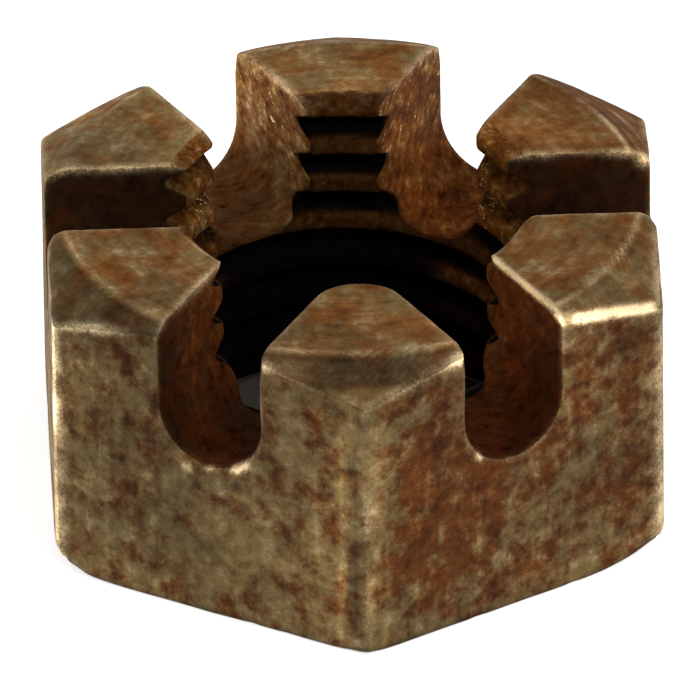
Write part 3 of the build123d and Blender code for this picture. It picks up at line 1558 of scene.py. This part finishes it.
@dataclass(frozen=True)
class Ageing:
    """Where the nut is bright from wear and painted highlights, red with rust, black with old
    grease and painted shade, and lighter or darker from painted light.

    The numbers in its methods are shares of painted light, of rust and of dirt with painted shade,
    and places and widths in millimetres.
    """

    RED_PATCHES = (
        Spot((2.4, -8.7, 3.6), 2.1, 0.75),
        Spot((1.7, -9.1, 6.2), 1.0, 0.50),
        Spot((-6.3, -3.2, 9.2), 1.6, 0.35),
        Spot((6.0, 4.0, 9.2), 1.8, 0.35),
        Spot((-2.6, -8.6, 7.0), 0.6, 0.2),
    )
    # Painted highlights: fixed bright spots on the back right crown line and the back merlon's top.
    PAINTED_HIGHLIGHTS = (
        Spot((8.60, 1.90, 9.00), 0.30, 1.0),
        Spot((-1.45, 8.10, 9.25), 0.16, 0.6),
        Spot((1.60, 5.30, 9.20), 0.16, 0.6),
    )
    # Dark spot on a front right slot wall, part of the slots' dirt and painted shade.
    DARK_POCKET = Spot((4.56, -4.75, 6.79), 0.28, 0.5, tall=1.7)
    STREAKS = (
        Streak(side=4, along=3.20, width=0.09, strength=1.10, seed=211),
        Streak(side=4, along=3.75, width=0.30, strength=0.35, seed=212),
        Streak(side=4, along=4.20, width=0.09, strength=1.10, seed=213),
        Streak(side=4, along=4.58, width=0.24, strength=-0.75, seed=214),
        Streak(side=5, along=-4.80, width=0.20, strength=0.90, seed=215),
        Streak(side=5, along=-3.90, width=0.22, strength=-0.35, seed=216),
    )
    TURNED_LINES = ((0.0, 0.42, 0.11), (0.36, 0.20, 0.08), (0.72, 0.22, 0.09))
    LOWEST_OPEN_CREST = 4.75

    zones: Zones

    # --- bright wear -------------------------------------------------------------------

    def edge(self) -> np.ndarray:
        """Brightness of the edges: bare steel where they are worn, and painted highlights.

        Formula: a bell curve of the distance from each edge, with a height and a width of its own
        at each place, together with the turned lines, the burrs and the painted highlights.

        Returns:
            One number from 0 to 1.5 a point.
        """
        zones = self.zones
        total = self._circle()
        for edge in Edge:
            height, width = self._wear_and_highlight(edge)
            total = np.maximum(total, height * zones.near(edge, width))
        for burr in BURRS:
            total = np.maximum(total, burr.shine * burr.share(zones.size, zones.points))
        total = total * (0.8 + 0.9 * Unevenness(0.9, 3, 41).at(zones.points))
        for highlight in self.PAINTED_HIGHLIGHTS:
            total = np.maximum(total, highlight.at(zones.points))
        return np.clip(total, 0.0, 1.5)

    def _circle(self) -> np.ndarray:
        """Light lines left by turning: the crown circle and two fainter ones on the cone. They
        carry painted highlights as well, strongest at the back right and weakest on the left.

        Returns:
            One number a point.
        """
        zones = self.zones
        total = np.zeros(len(zones.points))
        for off, height, width in self.TURNED_LINES:
            total = np.maximum(total, height * bell(zones.past_crown - off, width))
        back_right = zones.right * smooth_step(zones.y, 0.0, 1.5)
        return total * (1 - 0.4 * zones.left + 0.5 * back_right) * zones.on_top

    def _wear_and_highlight(self, edge: Edge) -> tuple[np.ndarray, np.ndarray]:
        """How bright and how wide the wear and the painted highlight along one edge are.

        Args:
            edge: the edge.

        Returns:
            Heights from 0 to 1.5, and widths in millimetres, one each a point.
        """
        zones = self.zones
        front, left, right = zones.front, zones.left, zones.right
        middle = (1 - right) * (1 - left) * front
        even = np.ones(len(front))
        if edge is Edge.CROWN_LINE:
            slot = zones.deep[:, Side.SLOT]
            outer = 1.5 * right * smooth_step(slot, 0.25, 0.8)
            outer = outer + 0.9 * left * smooth_step(slot, 0.3, 2.4)
            inner = middle * (0.14 + 0.24 * smooth_step(zones.x, 0.2, 1.5) + 1.5 * bell(slot, 0.42))
            total = (front * outer + inner) * (0.3 + 0.7 * zones.facing) + 0.35 * (1 - front)
            return total, 0.18 + front * (0.02 * left + 0.01 * right + 0.06 * middle)
        if edge is Edge.RIM:
            slanted = bell(zones.x - 4.6, 1.6) * front
            total = 0.30 + 0.12 * (1 - front) + 0.95 * slanted + 0.14 * left * front
            return total, 0.24 - 0.10 * slanted
        if edge is Edge.JAMB:
            return 0.16 + 0.12 * middle - 0.04 * left * front, 0.18 * even
        if edge is Edge.CORNER:
            high = left * smooth_step(zones.z, 4.5, 5.5)
            total = front * (0.55 * (right + left) + 0.18 * middle + 0.45 * high)
            return total, 0.30 - 0.1 * middle - 0.08 * high
        heights = {Edge.LIP: 0.12 + 0.26 * front, Edge.INNER: 0.0, Edge.FOOT: 0.0}
        return heights[edge] * even, 0.13 * even

    def specks(self) -> np.ndarray:
        """Share of small bright specks, bare metal with painted glints: most where the back slots
        cut the thread.

        Returns:
            One number a point.
        """
        zones = self.zones
        near = bell(zones.y - 3.6, 0.8) * bell(np.abs(zones.x) - 4.1, 0.5)
        return near * smooth_step(zones.z, 5.4, 6.4) * smooth_step(zones.z, 8.3, 7.6)

    # --- red rust ----------------------------------------------------------------------

    def red(self) -> np.ndarray:
        """Share of red rust: more on the right, most in patches on the right front flat,
        and little on the front corner.

        Returns:
            One number from 0 to 1 a point.
        """
        zones = self.zones
        x, y, z = zones.x, zones.y, zones.z
        total = 0.36 + 0.12 * np.tanh(x / 3.0) + 0.3 * Unevenness(2.6, 2, 67).at(zones.points)
        total += sum(patch.at(zones.points) for patch in self.RED_PATCHES)
        total += 0.12 * smooth_step(x, 0.0, 2.0) * smooth_step(z, 5.0, 6.5)
        total -= 0.35 * bell(x - 0.1, 0.5) * smooth_step(y, -8.5, -9.3)
        return np.clip(total + self._cone_red() + self._slot_red(), 0.0, 1.0)

    def _cone_red(self) -> np.ndarray:
        """What the crown's cone adds: less in front, more at the back right.

        Returns:
            One number a point.
        """
        zones = self.zones
        cone = smooth_step(zones.past_crown, 0.0, 0.2) * zones.on_top
        back_right = 0.15 * smooth_step(zones.x, -1.0, 1.0)
        return (back_right - (0.22 + back_right) * smooth_step(zones.y, 2.0, 0.0)) * cone

    def _slot_red(self) -> np.ndarray:
        """What the slots add: more at the back right and near the bore in front, less on
        the shaded walls in the middle and low down at the back left.

        Returns:
            One number a point.
        """
        x, y = self.zones.x, self.zones.y
        shaded = smooth_step(y, -1.0, 0.5) * smooth_step(y, 3.2, 2.4)
        back_right = smooth_step(y, 3.0, 4.5) * smooth_step(x, 0.0, 1.0)
        back_left = smooth_step(y, 2.0, 3.5) * smooth_step(x, 0.0, -1.0)
        total = 0.3 * back_right - (0.75 - 0.15 * np.tanh(x)) * shaded
        total -= 0.2 * back_left * smooth_step(self.zones.z, 7.2, 6.0)
        total += smooth_step(y, -1.0, -2.5) * (0.30 - 0.45 * self._outer_end())
        return total * self.zones.at_slot

    # --- dirt --------------------------------------------------------------------------

    def _outer_end(self) -> np.ndarray:
        """Share, from 0 to 1, of the slots' outer ends."""
        return smooth_step(self.zones.radius, 6.6, 8.8)

    def slot_grime_and_shade(self) -> np.ndarray:
        """Dirt and painted shade in the slots: clean on the back merlon, dark in front of it and
        low down.

        Returns:
            One number, mostly from 0 to 1, a point.
        """
        zones = self.zones
        back = smooth_step(zones.y, 2.2, 4.6)
        low = smooth_step(zones.size.slot_centre - zones.z, -0.9, 1.2)
        middle = smooth_step(zones.y, -1.5, 0.5)
        near = 0.62 + 0.32 * middle + (0.14 * low + 0.24 * self._outer_end()) * (1 - middle)
        far = 0.04 + (0.42 + 0.3 * smooth_step(zones.x, -1.0, -3.0)) * low
        return (1 - back) * near + back * far + self.DARK_POCKET.at(zones.points)

    def thread_grime_and_shade(self) -> np.ndarray:
        """Old grease and painted shade in the bore: black in the grooves and at the back, where
        shade falls, and brown on the crests.

        Returns:
            One number from 0 to 1 a point.
        """
        zones = self.zones
        size, z, radius = zones.size, zones.z, zones.radius
        right = zones.x > 0
        sideways = smooth_step(np.abs(zones.x) / radius, 0.55 - 0.25 * right, 0.85 - 0.2 * right)
        in_mouth = smooth_step(z, size.height - 0.62, size.height - 0.45)
        inner_end = sideways * smooth_step(zones.y, 0.6, 1.8) * smooth_step(z, 5.2, 6.2)
        groove = smooth_step(radius, size.crest_radius + 0.05, size.crest_radius + 0.30)
        groove = groove * (1 - in_mouth) * (1 - 0.75 * inner_end)
        lower = 1 - 0.45 * sideways * smooth_step(z, 3.1, 3.6)
        lower = 0.99 * (1 - sideways) + sideways * np.minimum(lower, 0.86)
        upper = 0.64 - 0.26 * inner_end
        high = smooth_step(z, self.LOWEST_OPEN_CREST - 0.35, self.LOWEST_OPEN_CREST + 0.1)
        crest = lower + (upper - lower) * high
        crest = crest * (1 - in_mouth) + in_mouth * (0.64 - 0.34 * sideways)
        return crest + (1 - crest) * groove

    # --- lightness ---------------------------------------------------------------------

    def shine(self) -> np.ndarray:
        """Painted light and shade over the film, with uneven tone: 1 in the open, with what each
        kind of face and the edges add or take away in painted light and shade, and wide patches of
        uneven tone.

        Returns:
            One number of 0.2 or more a point.
        """
        zones = self.zones
        light = 1 + self._edge_light() + self._top_light() * zones.on_top
        light += self._flat_light() * zones.on_flat + self._slot_light() * zones.in_slot
        wide, fine = Unevenness(3.1, 1, 131), Unevenness(1.1, 2, 137)
        patches = wide.at(zones.points) + 0.8 * fine.at(zones.points)
        return np.maximum(light * (1 + 0.34 * patches), 0.2)

    def _edge_light(self) -> np.ndarray:
        """Painted shade along the foot, the slots' inner ends and the pits beside the burrs, and a
        painted highlight along the crown line of the right front merlon.

        Returns:
            One number a point.
        """
        zones = self.zones
        right = zones.right * zones.front * zones.facing
        light = 0.9 * right * zones.near(Edge.CROWN_LINE, 0.2) - 0.6 * zones.near(Edge.FOOT, 0.17)
        light -= 0.35 * zones.near(Edge.INNER, 0.14) * smooth_step(np.abs(zones.y), 1.0, 2.5)
        for burr in BURRS:
            light += min(burr.shine, 0.0) * burr.share(zones.size, zones.points)
        return light

    def _top_light(self) -> np.ndarray:
        """Painted light and shade on the top and cone: the cone is duller in front, most of all on
        the left, the front merlon is dark but for a painted highlight at its tip, and the left
        merlons are light.

        Returns:
            One number a point.
        """
        zones = self.zones
        left, right = zones.left, zones.right * zones.front
        ahead = smooth_step(zones.y, 0.0, -2.0)
        cone = smooth_step(zones.past_crown, 0.05, 0.25)
        middle = bell(zones.x, 2.6) * smooth_step(zones.y, -1.0, -3.0)
        painted_shadow = ahead * (0.38 + 0.06 * middle + 0.30 * left - 0.26 * right) + 0.02 * (1 - ahead)
        painted_shadow -= (0.14 * (1 - ahead) - 0.08 * ahead) * left
        light = (0.10 + 0.12 * ahead) * left - painted_shadow * cone - 0.24 * middle - 0.15 * right
        light -= 0.10 * zones.right * (1 - ahead)
        return light + 0.5 * smooth_step(zones.radius, 9.2, 9.6) * bell(zones.x, 1.1) * ahead

    def _flat_light(self) -> np.ndarray:
        """Flats: painted shade under the crown line, painted light towards the top on the right,
        streaked beside the front corner, and a painted sheen along the nut's left edge.

        Returns:
            One number a point.
        """
        zones = self.zones
        x, y, z = zones.x, zones.y, zones.z
        under = zones.depths.distance(zones.deep, Edge.CROWN_LINE) - 0.45
        light = (0.08 + 0.20 * np.tanh(np.maximum(x, 0.0))) * smooth_step(z, 4.0, 6.5)
        light -= 0.25 * bell(under, 0.25)
        grain = Unevenness(0.28, 2, 83).at(zones.points * (1.0, 1.0, 0.05))
        light += 0.7 * grain * smooth_step(y, -5.5, -7.5) * zones.near(Edge.CORNER, 1.8)
        light += sum(streak.at(zones) for streak in self.STREAKS)
        return light + (0.85 - 0.35 * np.tanh(y / 2.0)) * smooth_step(x, -8.64, -8.70)

    def _slot_light(self) -> np.ndarray:
        """Slots: painted shade at the bottom in front, painted light at the back, but for painted
        shade at the cut threads.

        Returns:
            One number a point.
        """
        zones = self.zones
        bottom = smooth_step(zones.size.slot_centre - zones.z, 0.3, 1.5)
        teeth = bell(zones.deep[:, Side.BORE], 0.35)
        right = np.tanh(zones.x)
        light = (0.32 - 0.15 * right - 0.55 * teeth) * smooth_step(zones.y, 3.5, 5.0)
        return light - (0.22 + 0.18 * right) * bottom * smooth_step(zones.y, -2.0, -4.0)

    # --- all of it ---------------------------------------------------------------------

    def layers(self, slot: np.ndarray, thread: np.ndarray) -> dict[str, np.ndarray]:
        """Every named layer of numbers that the finishes read.

        Args:
            slot: share of slot faces round each point.
            thread: share of thread faces round each point.

        Returns:
            The layers.
        """
        grime = slot * self.slot_grime_and_shade() + thread * self.thread_grime_and_shade()
        return {
            "edge": self.edge(),
            "red": self.red(),
            "grime": np.clip(grime, 0.0, 1.0),
            "shine": self.shine(),
            "specks": self.specks(),
        }


@dataclass(frozen=True)
class CastleNut:
    """The nut: one skin of steel, its wear and its finishes."""

    sizes: NutSizes
    softening_passes: int = 3
    softening: float = 0.4
    softening_reach: float = 0.15
    waves: Unevenness = Unevenness(2.2, 2, 5)
    wave_height: float = 0.010
    pits: Unevenness = Unevenness(0.55, 2, 23)
    pit_threshold: float = 0.25
    pit_depth: float = 0.04

    def _wear(self, mesh: SteelMesh) -> None:
        """Rounds every edge by an uneven radius, softens what is left, pits the steel and
        raises the burrs.

        Args:
            mesh: the mesh to wear.
        """
        depths = Depths(self.sizes)
        rounding = Rounding(depths)
        for edge in Edge:
            mesh.points = depths.rounded(mesh.points, edge, rounding.radius(edge, mesh.points))
        deep = depths.at(mesh.points)
        near = np.min([depths.distance(deep, edge) for edge in Edge], axis=0)
        mesh.soften(self.softening_passes, self.softening * bell(near, self.softening_reach))
        waves = self.wave_height * self.waves.at(mesh.points)
        pits = np.maximum(self.pits.at(mesh.points) - self.pit_threshold, 0.0)
        mesh.points -= mesh.normals() * (waves + self.pit_depth * pits)[:, None]
        for burr in BURRS:
            mesh.points = burr.raised(self.sizes, mesh.points)

    def build(self) -> bpy.types.Object:
        """Makes the mesh, wears it and dresses it.

        Returns:
            The finished piece, riding on the body and standing for the solid.
        """
        mesh = SteelMesh(NutSkin(self.sizes).patches())
        fresh = mesh.points.copy()
        self._wear(mesh)
        LOG.info("deepest wear %.2f mm", float(np.abs(mesh.points - fresh).max()))
        mesh.points = np.clip(mesh.points, np.array(CAD_LOW) / MM, np.array(CAD_HIGH) / MM)
        ageing = Ageing(Zones(self.sizes, fresh))
        layers = ageing.layers(mesh.face_share(Face.SLOT), mesh.face_share(Face.THREAD))
        piece = mesh.build("nut_steel", layers)
        for face in Face:
            piece.data.materials.append(FINISHES[face].build())
        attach(piece, "root")
        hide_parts(NODE)
        return piece


# ---------------------------------------------------------------------------------------
# studio
# ---------------------------------------------------------------------------------------


@dataclass(frozen=True)
class Lamp:
    """Square soft lamp that faces the nut, in metres and watts."""

    name: str
    place: tuple[float, float, float]
    side: float
    power: float
    aim: tuple[float, float, float] = (0.0, 0.0, 0.005)

    def build(self) -> None:
        """Makes the lamp and turns it to its aim."""
        data = bpy.data.lights.new(self.name, "AREA")
        data.size = self.side
        data.energy = self.power
        lamp = placed(bpy.data.objects.new(self.name, data))
        lamp.location = self.place
        away = Vector(self.aim) - Vector(self.place)
        lamp.rotation_euler = away.to_track_quat("-Z", "Y").to_euler()


@dataclass(frozen=True)
class Studio:
    """White floor with a painted shadow under the bore, even white surroundings and two soft lamps
    over the nut.
    """

    floor_half: float = 0.6
    floor_gap: float = 0.00002
    floor_matt: Colour = (0.8, 0.8, 0.8)
    floor_glow: float = 0.6
    bore_painted_shadow: Colour = shade(62, 58, 52)
    bore_radius: float = 0.0062
    bore_blur: float = 0.0005
    white: Colour = (1.0, 1.0, 1.0)
    surround: float = 0.55
    lamps: tuple[Lamp, ...] = (
        Lamp("key_lamp", (0.10, -0.16, 0.22), 0.12, 0.55),
        Lamp("left_lamp", (-0.22, -0.02, 0.12), 0.10, 0.16),
    )

    def build(self) -> None:
        """Makes the floor, the world and the lamps."""
        self._floor()
        self._world()
        for lamp in self.lamps:
            lamp.build()

    def _floor(self) -> None:
        """Level plane just under the bearing face, white to the eye by its own glow, with a painted
        shadow under the bore, where the walls keep the light away."""
        half, under = self.floor_half, -self.floor_gap
        corners = [(x * half, y * half, under) for x, y in ((-1, -1), (1, -1), (1, 1), (-1, 1))]
        mesh = bpy.data.meshes.new("floor")
        mesh.from_pydata(corners, [], [(0, 1, 2, 3)])
        board = Board(bpy.data.materials.new("floor_white"))
        place = board.node("ShaderNodeTexCoord", output="Object")
        reach = board.node("ShaderNodeVectorMath", {"operation": "LENGTH"}, {0: place}, "Value")
        outside = reach.step(self.bore_radius - self.bore_blur, self.bore_radius + self.bore_blur)
        matt = self._shader(board, "ShaderNodeBsdfDiffuse", self.floor_matt)
        glow = self._shader(board, "ShaderNodeEmission", self.white, self.floor_glow)
        both = board.node("ShaderNodeAddShader", {}, {0: matt, 1: glow})
        lit = {0: self._seen_directly(board), 1: matt, 2: both}
        white = board.node("ShaderNodeMixShader", {}, lit)
        # Painted shadow: a dark floor colour inside the bore's radius.
        painted_shadow = self._shader(board, "ShaderNodeBsdfDiffuse", self.bore_painted_shadow)
        surface = board.node("ShaderNodeMixShader", {}, {0: outside, 1: painted_shadow, 2: white})
        board.node("ShaderNodeOutputMaterial", {}, {"Surface": surface})
        mesh.materials.append(board.owner)
        floor = placed(bpy.data.objects.new("floor", mesh))

    def _world(self) -> None:
        """Even surroundings: white to the camera, and a plain level of light."""
        board = Board(bpy.data.worlds.new("surround"))
        bpy.context.scene.world = board.owner
        camera = board.node("ShaderNodeLightPath", output="Is Camera Ray")
        soft = self._shader(board, "ShaderNodeBackground", self.white, self.surround)
        white = self._shader(board, "ShaderNodeBackground", self.white, 1.0)
        surface = board.node("ShaderNodeMixShader", {}, {0: camera, 1: soft, 2: white})
        board.node("ShaderNodeOutputWorld", {}, {"Surface": surface})

    @staticmethod
    def _shader(board: Board, kind: str, colour: Colour, strength: float | None = None) -> Wire:
        """Plain shader of one colour, and of one strength where it shines."""
        glow = {} if strength is None else {"Strength": strength}
        return board.node(kind, {}, {"Color": (*colour, 1.0), **glow})

    @staticmethod
    def _seen_directly(board: Board) -> Wire:
        """1 for what the camera, a gloss or a glass sees of the floor.

        Args:
            board: the board to add the nodes to.

        Returns:
            The share.
        """
        camera = board.node("ShaderNodeLightPath", output="Is Camera Ray")
        glossy = board.node("ShaderNodeLightPath", output="Is Glossy Ray")
        through = board.node("ShaderNodeLightPath", output="Is Transmission Ray")
        return (camera + glossy + through).step(0.0, 1.0)


@dataclass(frozen=True)
class LongLens:
    """Camera far away with a long lens, so that parallel edges stay parallel."""

    azimuth: float = -2.04
    elevation: float = 32.6
    roll: float = -0.74
    lens: float = 1200.0
    sensor: float = 36.0
    frame_width: float = 20.127
    aim: tuple[float, float, float] = (0.0, 0.0, 4.863)
    aim_right: float = 0.037
    aim_up: float = 0.751
    clip: tuple[float, float] = (0.01, 10.0)

    def build(self) -> None:
        """Makes the camera and turns it to the aim, which it holds a little off centre."""
        turn, rise, roll = map(math.radians, (self.azimuth, self.elevation, self.roll))
        level = Vector((math.sin(turn), -math.cos(turn), 0.0))
        back = level * math.cos(rise) + Vector((0.0, 0.0, math.sin(rise)))
        right = Vector((math.cos(turn), math.sin(turn), 0.0))
        up = back.cross(right)
        turned_right = right * math.cos(roll) + up * math.sin(roll)
        turned_up = up * math.cos(roll) - right * math.sin(roll)
        centre = Vector(self.aim) - turned_right * self.aim_right - turned_up * self.aim_up
        distance = self.frame_width * self.lens / self.sensor
        data = bpy.data.cameras.new("camera")
        data.lens, data.sensor_width = self.lens, self.sensor
        data.clip_start, data.clip_end = self.clip
        camera = placed(bpy.data.objects.new("camera", data))
        basis = Matrix((turned_right, turned_up, back)).transposed()
        camera.matrix_world = Matrix.Translation((centre + back * distance) * MM) @ basis.to_4x4()
        bpy.context.scene.camera = camera


def main() -> None:
    """Builds the camera, the studio and the nut, and logs the nut's face count."""
    logging.basicConfig(level=logging.INFO, format="%(name)s: %(message)s")
    bpy.context.scene.view_settings.view_transform = "Standard"
    LongLens().build()
    Studio().build()
    piece = CastleNut(NutSizes.from_frame(frame["record"])).build()
    LOG.info("%s: %d faces", piece.name, len(piece.data.polygons))


if __name__ == "__main__":
    main()
